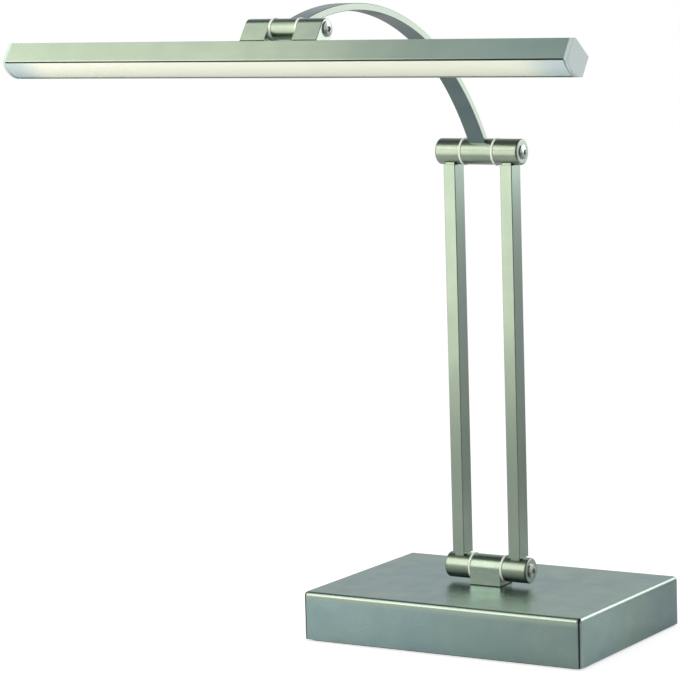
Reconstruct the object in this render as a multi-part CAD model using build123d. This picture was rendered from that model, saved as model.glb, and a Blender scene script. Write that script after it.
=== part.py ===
from build123d import *
from math import asin, atan2, cos, degrees, hypot, radians, sin, sqrt
import os

# Piano lamp: a weighted base, a post of two tubes, an arched arm and a long LED head, joined by three
# friction hinges whose axes run along X. Millimetres, +Z up, origin under the lower hinge on the table,
# -Y towards the player.

# ---- Driving dimensions: base ----
BASE_WIDTH = 250.0
BASE_DEPTH = 175.0
BASE_HEIGHT = 40.5
BASE_CORNER_RADIUS = 3.8
BASE_EDGE_RADIUS = 3.5
COVER_WALL = 2.0
PAD_THICKNESS = 1.5
PAD_INSET = 4.0
PAD_CORNER_RADIUS = 3.0
PLATE_THICKNESS = 2.0
PLATE_GAP = 0.25
BOSS_RADIUS = 4.5
BOSS_INSET = 10.0
WEIGHT_THICKNESS = 16.0
WEIGHT_SIDE_INSET = 20.0
WEIGHT_FRONT_INSET = 9.5
WEIGHT_DRIVER_GAP = 16.0
WEIGHT_CORNER_RADIUS = 8.0
WEIGHT_EDGE_CHAMFER = 1.5
WEIGHT_SCREW_INSET_X = 25.0
WEIGHT_SCREW_INSET_Y = 18.0
BACKING_WIDTH = 60.0
BACKING_DEPTH = 36.0
BACKING_THICKNESS = 3.0

# ---- Driving dimensions: post hinges, lower and upper alike ----
HINGE_RADIUS = 10.4
KNUCKLE_HALF_WIDTH = 13.6
BARREL_OUTER_X = 37.0
AXLE_RADIUS = 4.5
AXLE_BORE_RADIUS = 2.7
BARREL_END_WALL = 4.0
BARREL_END_RADIUS = 1.6
BARREL_INNER_RADIUS = 0.4
HINGE_ABOVE_BASE = 13.6

# ---- Driving dimensions: head hinge ----
HEAD_HINGE_RADIUS = 7.75
HEAD_KNUCKLE_HALF_WIDTH = 10.1
LUG_OUTER_X = 32.3
HEAD_AXLE_RADIUS = 3.5
HEAD_AXLE_BORE_RADIUS = 2.3
LUG_END_WALL = 3.5
LUG_EDGE_RADIUS = 0.5

# ---- Shared hinge details ----
WASHER_THICKNESS = 1.5
WASHER_PROUD = 0.6
SIDE_GAP = 0.05
RUNNING_CLEARANCE = 0.05
SEAT_CLEARANCE = 0.02
CAP_SCREW_RADIUS = 5.6
CAP_SCREW_RIM = 0.9
CAP_SCREW_HEIGHT = 2.2
CAP_SCREW_SOCKET_FLATS = 4.0
CAP_SCREW_SOCKET_DEPTH = 1.4
CAP_SCREW_REACH = 8.0

# ---- Joint ranges in degrees, positive towards the player ----
POST_RANGE = (-35.0, 35.0)
ARCH_RANGE = (-60.0, 35.0)
HEAD_RANGE = (-50.0, 60.0)

# ---- Driving dimensions: post ----
POST_LENGTH = 336.0
TUBE_WIDTH = 10.5
TUBE_DEPTH = 15.0
TUBE_WALL = 1.5
TUBE_EDGE_RADIUS = 0.6
TUBE_CENTRE_X = 25.5
TUBE_PLUG_DEPTH = 12.0

# ---- Driving dimensions: arch ----
ARCH_REACH = 280.8
ARCH_RISE = 107.2
ARCH_RADIUS = 231.0
ARCH_WIDTH = 15.0
ARCH_THICKNESS = 5.3
ARCH_WALL = 1.0
ARCH_EDGE_CHAMFER = 0.4

# ---- Driving dimensions: head ----
HEAD_TILT = 36.2
HEAD_LENGTH = 472.0
HEAD_DEPTH = 26.1
HEAD_HEIGHT = 18.6
HEAD_CHAMFER_Y = 3.1
HEAD_CHAMFER_Z = 2.3
HEAD_WALL = 1.5
LUG_HEIGHT = 14.1
HINGE_BEHIND_FRONT = 9.9
END_CAP_THICKNESS = 3.0
END_CAP_EDGE_RADIUS = 0.6
END_CAP_PLUG_DEPTH = 8.0
PLUG_WALL = 1.5
PLUG_GAP = 0.3
FRONT_LIP_RADIUS = 0.6
DIFFUSER_BULGE = 3.2
DIFFUSER_THICKNESS = 1.6
DIFFUSER_LEG = 4.0
DIFFUSER_LEG_THICKNESS = 1.2
DIFFUSER_GROOVE = 0.7
DIFFUSER_SET_BACK = 0.4
DIFFUSER_RIM = 0.5
DIFFUSER_BACK_RECESS = 1.0
SNAP_DEPTH = 0.5
SNAP_HEIGHT = 1.1
CAP_PROUD = 0.2
BOARD_THICKNESS = 1.6
RAIL_HEIGHT = 1.2
RAIL_REACH = 2.0
LED_LENGTH = 3.5
LED_WIDTH = 2.8
LED_HEIGHT = 0.8
LED_PITCH = 15.0
LED_OFFSET_Y = 7.0
LED_END_MARGIN = 20.0

# ---- Driving dimensions: wiring, screws and bought parts ----
LEAD_RADIUS = 1.3
LEAD_BEND = 4.0
LEAD_BEND_SHARE = 0.6
LEAD_JOIN_X = 4.5
LEAD_HOLE_RADIUS = 2.1
LEAD_MARGIN = 0.3
LEAD_BOARD_RUN = 18.0
LEAD_SLOT = 3.5
LEAD_BELOW_DRIVER_TOP = 3.5
BASE_LEAD_BEND = 5.0
FLAT_SCREW_RADIUS = 2.0
FLAT_SCREW_HEAD_RADIUS = 4.0
FLAT_SCREW_LENGTH = 12.0
BLOCK_SCREW_RADIUS = 2.0
BLOCK_SCREW_HEAD_RADIUS = 3.5
BLOCK_SCREW_HEAD_HEIGHT = 4.0
BLOCK_SCREW_REACH = 5.5
BLOCK_SCREW_X = 8.8
BLOCK_SCREW_SOCKET_FLATS = 3.0
SMALL_SCREW_RADIUS = 1.5
SMALL_SCREW_HEAD_RADIUS = 2.75
SMALL_SCREW_HEAD_HEIGHT = 1.6
LUG_SCREW_REACH = 5.0
LUG_SCREW_INSET = 3.0
THREAD_CLEARANCE = 0.05
HOLE_CLEARANCE = 0.2
FIT_GAP = 0.1
DRIVER_LENGTH = 80.0
DRIVER_WIDTH = 34.0
DRIVER_HEIGHT = 22.0
DRIVER_EDGE_RADIUS = 1.5
DRIVER_EAR = 9.0
DRIVER_EAR_THICKNESS = 2.0
DRIVER_SIDE_INSET = 27.0
DRIVER_REAR_GAP = 13.5
JACK_TO_SWITCH = 35.0
JACK_RADIUS = 4.0
JACK_FLANGE_RADIUS = 6.0
JACK_FLANGE = 1.6
JACK_LENGTH = 16.0
JACK_BORE_RADIUS = 2.8
JACK_BORE_DEPTH = 10.0
JACK_PIN_RADIUS = 1.05
JACK_NUT_FLATS = 11.0
JACK_NUT_THICKNESS = 2.0
SWITCH_SIDE_INSET = 40.0
SWITCH_RADIUS = 6.0
SWITCH_FLANGE_RADIUS = 8.0
SWITCH_FLANGE = 1.6
SWITCH_LENGTH = 22.0
SWITCH_NUT_FLATS = 15.0
SWITCH_NUT_THICKNESS = 3.0
BUTTON_RADIUS = 4.5
BUTTON_PROUD = 3.5
BUTTON_TRAVEL = 3.0
BUTTON_LENGTH = 12.0
BUTTON_EDGE_RADIUS = 0.8
BUTTON_FLOOR_GAP = 0.8

# ---- Places worked out from the driving dimensions ----
COVER_BOTTOM_Z = PAD_THICKNESS
PLATE_TOP_Z = COVER_BOTTOM_Z + PLATE_THICKNESS
COVER_CEILING_Z = BASE_HEIGHT - COVER_WALL
LOWER_AXIS_Z = BASE_HEIGHT + HINGE_ABOVE_BASE
UPPER_AXIS_Z = LOWER_AXIS_Z + POST_LENGTH
HEAD_AXIS_Y = -ARCH_REACH
HEAD_AXIS_Z = UPPER_AXIS_Z + ARCH_RISE
BACK_Y = BASE_DEPTH / 2
BACK_INNER_Y = BACK_Y - COVER_WALL
REAR_PARTS_Z = (COVER_BOTTOM_Z + BASE_HEIGHT) / 2

WEIGHT_WIDTH = BASE_WIDTH - 2 * WEIGHT_SIDE_INSET
SWITCH_X = BASE_WIDTH / 2 - SWITCH_SIDE_INSET
JACK_X = SWITCH_X - JACK_TO_SWITCH
DRIVER_CENTRE_X = -BASE_WIDTH / 2 + DRIVER_SIDE_INSET + DRIVER_LENGTH / 2
DRIVER_CENTRE_Y = BACK_INNER_Y - DRIVER_REAR_GAP - DRIVER_WIDTH / 2
WEIGHT_FRONT_Y = -BACK_Y + WEIGHT_FRONT_INSET
WEIGHT_BACK_Y = DRIVER_CENTRE_Y - DRIVER_WIDTH / 2 - WEIGHT_DRIVER_GAP
WEIGHT_LENGTH = WEIGHT_BACK_Y - WEIGHT_FRONT_Y
WEIGHT_CENTRE_Y = (WEIGHT_FRONT_Y + WEIGHT_BACK_Y) / 2
DRIVER_END_X = DRIVER_CENTRE_X + DRIVER_LENGTH / 2
LEAD_Z = PLATE_TOP_Z + DRIVER_HEIGHT - LEAD_BELOW_DRIVER_TOP

# Centre and end angles of the arch's single arc, seen in the Y-Z plane.
CHORD = hypot(ARCH_REACH, ARCH_RISE)
CENTRE_BELOW_CHORD = sqrt(ARCH_RADIUS ** 2 - (CHORD / 2) ** 2)
ARCH_CENTRE_Y = -ARCH_REACH / 2 - CENTRE_BELOW_CHORD * ARCH_RISE / CHORD
ARCH_CENTRE_Z = UPPER_AXIS_Z + ARCH_RISE / 2 - CENTRE_BELOW_CHORD * ARCH_REACH / CHORD
ARCH_LOW_ANGLE = degrees(atan2(UPPER_AXIS_Z - ARCH_CENTRE_Z, -ARCH_CENTRE_Y))
ARCH_HIGH_ANGLE = degrees(atan2(HEAD_AXIS_Z - ARCH_CENTRE_Z, HEAD_AXIS_Y - ARCH_CENTRE_Y))

# Head section, measured from the head hinge axis with the light facing straight down.
HEAD_FRONT_Y = -HINGE_BEHIND_FRONT
HEAD_BACK_Y = HEAD_FRONT_Y + HEAD_DEPTH
HEAD_TOP_Z = -LUG_HEIGHT
HEAD_BOTTOM_Z = HEAD_TOP_Z - HEAD_HEIGHT
CAVITY_FRONT_Y = HEAD_FRONT_Y + HEAD_WALL
CAVITY_BACK_Y = HEAD_BACK_Y - HEAD_WALL
CAVITY_TOP_Z = HEAD_TOP_Z - HEAD_WALL
LIP_Y = HEAD_BACK_Y - HEAD_CHAMFER_Y
LIP_TOP_Z = HEAD_BOTTOM_Z + HEAD_WALL * hypot(HEAD_CHAMFER_Y, HEAD_CHAMFER_Z) / HEAD_CHAMFER_Y
HOUSING_END_X = HEAD_LENGTH / 2 - END_CAP_THICKNESS
BOARD_BOTTOM_Z = CAVITY_TOP_Z - BOARD_THICKNESS
BOARD_FRONT_Y = HEAD_FRONT_Y + HEAD_CHAMFER_Y + HEAD_WALL / 2
BOARD_BACK_Y = CAVITY_BACK_Y - FIT_GAP
RAIL_TOP_Z = BOARD_BOTTOM_Z - FIT_GAP
RAIL_BOTTOM_Z = RAIL_TOP_Z - RAIL_HEIGHT
LEG_TOP_Z = HEAD_BOTTOM_Z + DIFFUSER_LEG
LEG_FRONT_Y = CAVITY_FRONT_Y + FIT_GAP
LEG_BACK_Y = LIP_Y - FIT_GAP
SNAP_LOW_Z = LIP_TOP_Z + FIT_GAP

os.makedirs("parts", exist_ok=True)


# ---- Small building blocks ----
def save(name, part):
    """Write one sub-part to its own file."""
    solids = part.solids()
    shape = solids[0] if len(solids) == 1 else Compound(children=list(solids))
    shape.label = name
    export_step(shape, os.path.join("parts", name + ".step"))


def x_rod(radius, x_from, x_to, y=0.0, z=0.0):
    """A cylinder along X between two X positions."""
    return Pos((x_from + x_to) / 2, y, z) * Rot(0, 90, 0) * Cylinder(radius, abs(x_to - x_from))


def y_rod(radius, y_from, y_to, x=0.0, z=0.0):
    """A cylinder along Y between two Y positions."""
    return Pos(x, (y_from + y_to) / 2, z) * Rot(90, 0, 0) * Cylinder(radius, abs(y_to - y_from))


def z_rod(radius, z_from, z_to, x=0.0, y=0.0):
    """A cylinder along Z between two heights."""
    return Pos(x, y, (z_from + z_to) / 2) * Cylinder(radius, abs(z_to - z_from))


def block_between(low, high):
    """A box given by its lowest and highest corners."""
    centre = [(a + b) / 2 for a, b in zip(low, high)]
    sides = [b - a for a, b in zip(low, high)]
    return Pos(*centre) * Box(*sides)


def hexagon_rod(flats, height):
    """A hexagonal prism along Z, its base at the origin."""
    return extrude(RegularPolygon(flats / 2, 6, major_radius=False), height)


def x_prism(face, x_from, x_to):
    """A flat face drawn in (y, z), drawn out along X."""
    return Pos(x_from, 0, 0) * extrude(Plane.YZ * face, x_to - x_from)


def outline(points):
    """A closed flat face through (y, z) points."""
    return make_face(Polyline(*points, close=True))


def rectangle(low_y, high_y, low_z, high_z):
    """A flat rectangle in (y, z)."""
    return outline([(low_y, low_z), (high_y, low_z), (high_y, high_z), (low_y, high_z)])


def polar(radius, angle, centre=(0.0, 0.0)):
    """A point in the Y-Z plane at an angle in degrees."""
    return (centre[0] + radius * cos(radians(angle)), centre[1] + radius * sin(radians(angle)))


def lead_along(path):
    """A round two-core lead that follows a path."""
    section = Plane(origin=path @ 0, z_dir=path % 0) * Circle(LEAD_RADIUS)
    return sweep(section, path=path)


def bent_lead(points, bends):
    """A lead of straight runs joined by arcs."""
    return lead_along(FilletPolyline(*points, radius=bends))


def four_corners(half_x, half_y, centre_y=0.0):
    """The four (x, y) places of a rectangular pattern."""
    return [(x, centre_y + y) for x in (-half_x, half_x) for y in (-half_y, half_y)]


# ---- Screws ----
def flat_head_screws(places):
    """Countersunk screws driven up through the bottom plate, their heads flush with its underside."""
    screws = Part()
    for x, y in places:
        head = Pos(x, y, COVER_BOTTOM_Z + PLATE_THICKNESS / 2) * Cone(
            FLAT_SCREW_HEAD_RADIUS, FLAT_SCREW_RADIUS, PLATE_THICKNESS)
        shank = z_rod(FLAT_SCREW_RADIUS, PLATE_TOP_Z, PLATE_TOP_Z + FLAT_SCREW_LENGTH, x, y)
        socket = Pos(x, y, COVER_BOTTOM_Z) * hexagon_rod(FLAT_SCREW_RADIUS, PLATE_THICKNESS / 2)
        screws += head + shank - socket
    return screws


def countersinks(places):
    """Cone-shaped holes in the bottom plate."""
    holes = Part()
    for x, y in places:
        holes += Pos(x, y, COVER_BOTTOM_Z + PLATE_THICKNESS / 2) * Cone(
            FLAT_SCREW_HEAD_RADIUS + THREAD_CLEARANCE, FLAT_SCREW_RADIUS + THREAD_CLEARANCE, PLATE_THICKNESS)
    return holes


def tapped_holes(places):
    """Threaded holes above the bottom plate."""
    depth = FLAT_SCREW_LENGTH + HOLE_CLEARANCE
    holes = Part()
    for x, y in places:
        holes += z_rod(FLAT_SCREW_RADIUS + THREAD_CLEARANCE, PLATE_TOP_Z, PLATE_TOP_Z + depth, x, y)
    return holes


def pan_head_screw(shank_length):
    """Small screw pointing along -Z, its head's underside at the origin."""
    head = z_rod(SMALL_SCREW_HEAD_RADIUS, 0, SMALL_SCREW_HEAD_HEIGHT)
    rim = head.edges().filter_by(GeomType.CIRCLE).sort_by(Axis.Z)[-1]
    return chamfer(rim, SMALL_SCREW_HEAD_HEIGHT / 2) + z_rod(SMALL_SCREW_RADIUS, -shank_length, 0)


def hinge_cap_screw(bore_radius, face_x, side):
    """Domed socket screw that closes one end of a hinge."""
    dome_height = CAP_SCREW_HEIGHT - CAP_SCREW_RIM
    sphere_radius = (CAP_SCREW_RADIUS ** 2 + dome_height ** 2) / (2 * dome_height)
    half_way = CAP_SCREW_RADIUS / 2
    half_height = CAP_SCREW_HEIGHT - sphere_radius + sqrt(sphere_radius ** 2 - half_way ** 2)
    sides = Polyline((0, CAP_SCREW_HEIGHT), (0, 0), (CAP_SCREW_RADIUS, 0), (CAP_SCREW_RADIUS, CAP_SCREW_RIM))
    dome = ThreePointArc((CAP_SCREW_RADIUS, CAP_SCREW_RIM), (half_way, half_height), (0, CAP_SCREW_HEIGHT))
    head = revolve(Plane.XZ * make_face(sides + dome), Axis.Z)
    socket = Pos(0, 0, CAP_SCREW_HEIGHT - CAP_SCREW_SOCKET_DEPTH) * hexagon_rod(
        CAP_SCREW_SOCKET_FLATS, CAP_SCREW_SOCKET_DEPTH)
    shank = z_rod(bore_radius - THREAD_CLEARANCE, -CAP_SCREW_REACH, 0)
    return Pos(side * face_x, 0, 0) * Rot(0, side * 90, 0) * (head + shank - socket)


# ---- Hinges, built about an axis along X through the origin ----
class Hinge:
    """Sizes of one friction hinge: a centre knuckle between two outer parts on a hollow axle."""

    def __init__(self, radius, knuckle_half, outer_x, axle_radius, bore_radius, end_wall):
        self.radius = radius
        self.knuckle_half = knuckle_half
        self.inner_x = knuckle_half + WASHER_THICKNESS + 2 * SIDE_GAP
        self.outer_x = outer_x
        self.centre_x = (self.inner_x + outer_x) / 2
        self.axle_radius = axle_radius
        self.bore_radius = bore_radius
        self.axle_end_x = outer_x - end_wall

    def running_bore(self):
        """Bore of the knuckle, which turns on the axle."""
        return x_rod(self.axle_radius + RUNNING_CLEARANCE, -self.knuckle_half, self.knuckle_half)

    def stepped_bore(self, side):
        """Bore of an outer part: it grips the axle, and its end wall passes the cap screw."""
        seat = x_rod(self.axle_radius + SEAT_CLEARANCE, side * self.inner_x, side * self.axle_end_x)
        way = x_rod(self.bore_radius + HOLE_CLEARANCE, side * self.axle_end_x, side * self.outer_x)
        return seat + way

    def lead_hole(self, angle):
        """Hole from the axis out through the knuckle. Angle 0 points up, and positive leans forward."""
        return Rot(angle, 0, 0) * z_rod(LEAD_HOLE_RADIUS, 0, 2 * self.radius)

    def washers(self):
        """The pair of nylon rings between the knuckle and the outer parts."""
        rings = Part()
        for side in (-1, 1):
            near = side * (self.knuckle_half + SIDE_GAP)
            far = near + side * WASHER_THICKNESS
            ring = x_rod(self.radius + WASHER_PROUD, near, far)
            rings += ring - x_rod(self.axle_radius + RUNNING_CLEARANCE, near, far)
        return rings

    def cap_screws(self):
        """The domed screws at both ends."""
        screws = Part()
        for side in (-1, 1):
            screws += hinge_cap_screw(self.bore_radius, self.outer_x, side)
        return screws

    def axle(self, window_angle, window_span, outlet_x, outlet_angle):
        """Hollow axle. A lead turns in its wide central window, and the next one leaves by its outlet."""
        tube = x_rod(self.axle_radius, -self.axle_end_x, self.axle_end_x)
        tube -= x_rod(self.bore_radius, -self.axle_end_x, self.axle_end_x)
        half_slot = LEAD_RADIUS + LEAD_MARGIN
        bend_reach = LEAD_BEND * LEAD_BEND_SHARE
        half_angle = window_span / 2 + degrees(asin(half_slot / self.bore_radius))
        reach = 2 * self.axle_radius
        arc = CenterArc((0, 0), reach, 90 - half_angle, 2 * half_angle)
        sector = make_face(arc + Line(arc @ 0, (0, 0)) + Line((0, 0), arc @ 1))
        tube -= Rot(window_angle, 0, 0) * x_prism(sector, -bend_reach, half_slot)
        slot = block_between((outlet_x - half_slot, -half_slot, 0), (outlet_x + bend_reach, half_slot, reach))
        return tube - Rot(outlet_angle, 0, 0) * slot


POST_HINGE = Hinge(HINGE_RADIUS, KNUCKLE_HALF_WIDTH, BARREL_OUTER_X, AXLE_RADIUS, AXLE_BORE_RADIUS,
                   BARREL_END_WALL)
HEAD_HINGE = Hinge(HEAD_HINGE_RADIUS, HEAD_KNUCKLE_HALF_WIDTH, LUG_OUTER_X, HEAD_AXLE_RADIUS,
                   HEAD_AXLE_BORE_RADIUS, LUG_END_WALL)

AT_LOWER_AXIS = Pos(0, 0, LOWER_AXIS_Z)
AT_UPPER_AXIS = Pos(0, 0, UPPER_AXIS_Z)
AT_HEAD_AXIS = Pos(0, HEAD_AXIS_Y, HEAD_AXIS_Z)
HEAD_FRAME = AT_HEAD_AXIS * Rot(-HEAD_TILT, 0, 0)

# Directions in which the arch leaves its two axes, as turns about X from straight up.
ARCH_LEAVES_POST = ARCH_LOW_ANGLE
ARCH_LEAVES_HEAD = ARCH_HIGH_ANGLE + 180

BOSS_PLACES = four_corners(BASE_WIDTH / 2 - BOSS_INSET, BASE_DEPTH / 2 - BOSS_INSET)
WEIGHT_SCREW_PLACES = four_corners(WEIGHT_WIDTH / 2 - WEIGHT_SCREW_INSET_X,
                                   WEIGHT_LENGTH / 2 - WEIGHT_SCREW_INSET_Y, WEIGHT_CENTRE_Y)
BLOCK_SCREW_PLACES = [(-BLOCK_SCREW_X, 0), (BLOCK_SCREW_X, 0)]
DRIVER_SCREW_PLACES = [(DRIVER_CENTRE_X + side * (DRIVER_LENGTH + DRIVER_EAR) / 2, DRIVER_CENTRE_Y)
                       for side in (-1, 1)]
LUG_SCREW_PLACES = [side * x for side in (-1, 1)
                    for x in (HEAD_HINGE.inner_x + LUG_SCREW_INSET, HEAD_HINGE.outer_x - LUG_SCREW_INSET)]


# ---- Base ----
def base_cover():
    """Box-shaped cover, open below, with four threaded bosses and holes for what passes through it."""
    height = BASE_HEIGHT - COVER_BOTTOM_Z
    shell = Pos(0, 0, COVER_BOTTOM_Z + height / 2) * Box(BASE_WIDTH, BASE_DEPTH, height)
    shell = fillet(shell.edges().filter_by(Axis.Z), BASE_CORNER_RADIUS)
    shell = fillet(shell.faces().sort_by(Axis.Z)[-1].edges(), BASE_EDGE_RADIUS)
    inside = Pos(0, 0, (COVER_BOTTOM_Z + COVER_CEILING_Z) / 2) * Box(
        BASE_WIDTH - 2 * COVER_WALL, BASE_DEPTH - 2 * COVER_WALL, height - COVER_WALL)
    inside = fillet(inside.edges().filter_by(Axis.Z), BASE_CORNER_RADIUS - COVER_WALL)
    cover = shell - inside
    for x, y in BOSS_PLACES:
        cover += z_rod(BOSS_RADIUS, PLATE_TOP_Z, COVER_CEILING_Z, x, y)
    cover -= tapped_holes(BOSS_PLACES)
    cover -= z_rod(LEAD_HOLE_RADIUS, COVER_CEILING_Z, BASE_HEIGHT)
    for x, y in BLOCK_SCREW_PLACES:
        cover -= z_rod(BLOCK_SCREW_RADIUS + HOLE_CLEARANCE, COVER_CEILING_Z, BASE_HEIGHT, x, y)
    cover -= y_rod(JACK_RADIUS + THREAD_CLEARANCE, BACK_INNER_Y, BACK_Y, JACK_X, REAR_PARTS_Z)
    return cover - y_rod(SWITCH_RADIUS + THREAD_CLEARANCE, BACK_INNER_Y, BACK_Y, SWITCH_X, REAR_PARTS_Z)


def base_plate():
    """Bottom plate, set inside the rim of the cover."""
    inset = 2 * (COVER_WALL + PLATE_GAP)
    plate = Pos(0, 0, COVER_BOTTOM_Z + PLATE_THICKNESS / 2) * Box(
        BASE_WIDTH - inset, BASE_DEPTH - inset, PLATE_THICKNESS)
    plate = fillet(plate.edges().filter_by(Axis.Z), BASE_CORNER_RADIUS - COVER_WALL)
    plate -= countersinks(BOSS_PLACES) + countersinks(WEIGHT_SCREW_PLACES)
    for x, y in DRIVER_SCREW_PLACES:
        plate -= z_rod(SMALL_SCREW_RADIUS + THREAD_CLEARANCE, COVER_BOTTOM_Z, PLATE_TOP_Z, x, y)
    return plate


def base_weight():
    """Cast ballast slab under the front of the base, where the head leans out."""
    slab = Pos(0, WEIGHT_CENTRE_Y, PLATE_TOP_Z + WEIGHT_THICKNESS / 2) * Box(
        WEIGHT_WIDTH, WEIGHT_LENGTH, WEIGHT_THICKNESS)
    slab = fillet(slab.edges().filter_by(Axis.Z), WEIGHT_CORNER_RADIUS)
    slab = chamfer(slab.faces().sort_by(Axis.Z)[-1].edges(), WEIGHT_EDGE_CHAMFER)
    return slab - tapped_holes(WEIGHT_SCREW_PLACES)


def base_pad():
    """Rubber sheet under the bottom plate, a little smaller than the base."""
    pad = Pos(0, 0, PAD_THICKNESS / 2) * Box(
        BASE_WIDTH - 2 * PAD_INSET, BASE_DEPTH - 2 * PAD_INSET, PAD_THICKNESS)
    return fillet(pad.edges().filter_by(Axis.Z), PAD_CORNER_RADIUS)


def backing_plate():
    """Stiffening plate under the cover's roof, below the hinge block."""
    plate = Pos(0, 0, COVER_CEILING_Z - BACKING_THICKNESS / 2) * Box(
        BACKING_WIDTH, BACKING_DEPTH, BACKING_THICKNESS)
    plate = fillet(plate.edges().filter_by(Axis.Z), BASE_CORNER_RADIUS)
    plate -= z_rod(LEAD_HOLE_RADIUS, COVER_CEILING_Z - BACKING_THICKNESS, COVER_CEILING_Z)
    for x, y in BLOCK_SCREW_PLACES:
        plate -= z_rod(BLOCK_SCREW_RADIUS + HOLE_CLEARANCE, COVER_CEILING_Z - BACKING_THICKNESS,
                       COVER_CEILING_Z, x, y)
    return plate


def hinge_block():
    """Centre block of the lower hinge: round on top, flat in front, its foot on the base."""
    body = block_between((-KNUCKLE_HALF_WIDTH, -HINGE_RADIUS, -HINGE_ABOVE_BASE),
                         (KNUCKLE_HALF_WIDTH, HINGE_RADIUS, 0))
    body += x_rod(HINGE_RADIUS, -KNUCKLE_HALF_WIDTH, KNUCKLE_HALF_WIDTH)
    body -= POST_HINGE.running_bore() + POST_HINGE.lead_hole(180)
    for x, y in BLOCK_SCREW_PLACES:
        body -= z_rod(BLOCK_SCREW_RADIUS + THREAD_CLEARANCE, -HINGE_ABOVE_BASE,
                      -HINGE_ABOVE_BASE + BLOCK_SCREW_REACH + HOLE_CLEARANCE, x, y)
    return AT_LOWER_AXIS * body


def block_screws():
    """Socket screws that hold the hinge block from inside the base."""
    under_plate_z = COVER_CEILING_Z - BACKING_THICKNESS
    screws = Part()
    for x, y in BLOCK_SCREW_PLACES:
        head = z_rod(BLOCK_SCREW_HEAD_RADIUS, under_plate_z - BLOCK_SCREW_HEAD_HEIGHT, under_plate_z, x, y)
        shank = z_rod(BLOCK_SCREW_RADIUS, under_plate_z, BASE_HEIGHT + BLOCK_SCREW_REACH, x, y)
        socket = Pos(x, y, under_plate_z - BLOCK_SCREW_HEAD_HEIGHT) * hexagon_rod(
            BLOCK_SCREW_SOCKET_FLATS, BLOCK_SCREW_HEAD_HEIGHT / 2)
        screws += head + shank - socket
    return screws


def led_driver():
    """Sealed driver box with a screw ear at each end."""
    box = Pos(DRIVER_CENTRE_X, DRIVER_CENTRE_Y, PLATE_TOP_Z + DRIVER_HEIGHT / 2) * Box(
        DRIVER_LENGTH, DRIVER_WIDTH, DRIVER_HEIGHT)
    box = fillet(box.edges().filter_by(Axis.Z) + box.faces().sort_by(Axis.Z)[-1].edges(), DRIVER_EDGE_RADIUS)
    for x, y in DRIVER_SCREW_PLACES:
        ear = Pos(x, y, PLATE_TOP_Z + DRIVER_EAR_THICKNESS / 2) * Box(
            DRIVER_EAR, DRIVER_EAR, DRIVER_EAR_THICKNESS)
        box += ear - z_rod(SMALL_SCREW_RADIUS + HOLE_CLEARANCE, PLATE_TOP_Z,
                           PLATE_TOP_Z + DRIVER_EAR_THICKNESS, x, y)
    return box


def driver_screws():
    """The two screws through the driver's ears."""
    screws = Part()
    for x, y in DRIVER_SCREW_PLACES:
        screws += Pos(x, y, PLATE_TOP_Z + DRIVER_EAR_THICKNESS) * pan_head_screw(
            DRIVER_EAR_THICKNESS + PLATE_THICKNESS)
    return screws


def power_jack():
    """Round low-voltage inlet in the back wall, with its centre pin."""
    jack = y_rod(JACK_FLANGE_RADIUS, BACK_Y, BACK_Y + JACK_FLANGE, JACK_X, REAR_PARTS_Z)
    jack = chamfer(jack.edges().sort_by(Axis.Y)[-1], JACK_FLANGE / 3)
    jack += y_rod(JACK_RADIUS, BACK_Y - JACK_LENGTH, BACK_Y, JACK_X, REAR_PARTS_Z)
    mouth_y = BACK_Y + JACK_FLANGE
    jack -= y_rod(JACK_BORE_RADIUS, mouth_y - JACK_BORE_DEPTH, mouth_y, JACK_X, REAR_PARTS_Z)
    pin = y_rod(JACK_PIN_RADIUS, mouth_y - JACK_BORE_DEPTH, BACK_Y, JACK_X, REAR_PARTS_Z)
    return jack + pin


def wall_nut(flats, thickness, thread_radius, x):
    """Hexagon nut against the inside of the back wall."""
    nut = hexagon_rod(flats, thickness) - z_rod(thread_radius + THREAD_CLEARANCE, 0, thickness)
    return Pos(x, BACK_INNER_Y, REAR_PARTS_Z) * Rot(90, 0, 0) * nut


def switch_body():
    """Round push-switch body through the back wall, with the bore that guides its button."""
    mouth_y = BACK_Y + SWITCH_FLANGE
    body = y_rod(SWITCH_FLANGE_RADIUS, BACK_Y, mouth_y, SWITCH_X, REAR_PARTS_Z)
    body = chamfer(body.edges().sort_by(Axis.Y)[-1], SWITCH_FLANGE / 3)
    body += y_rod(SWITCH_RADIUS, BACK_Y - SWITCH_LENGTH, BACK_Y, SWITCH_X, REAR_PARTS_Z)
    floor_y = mouth_y + BUTTON_PROUD - BUTTON_LENGTH - BUTTON_TRAVEL - BUTTON_FLOOR_GAP
    return body - y_rod(BUTTON_RADIUS + RUNNING_CLEARANCE, floor_y, mouth_y, SWITCH_X, REAR_PARTS_Z)


def switch_button():
    """Push button that travels into the switch body."""
    tip_y = BACK_Y + SWITCH_FLANGE + BUTTON_PROUD
    button = y_rod(BUTTON_RADIUS, tip_y - BUTTON_LENGTH, tip_y, SWITCH_X, REAR_PARTS_Z)
    return fillet(button.edges().filter_by(GeomType.CIRCLE).sort_by(Axis.Y)[-1], BUTTON_EDGE_RADIUS)


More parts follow.
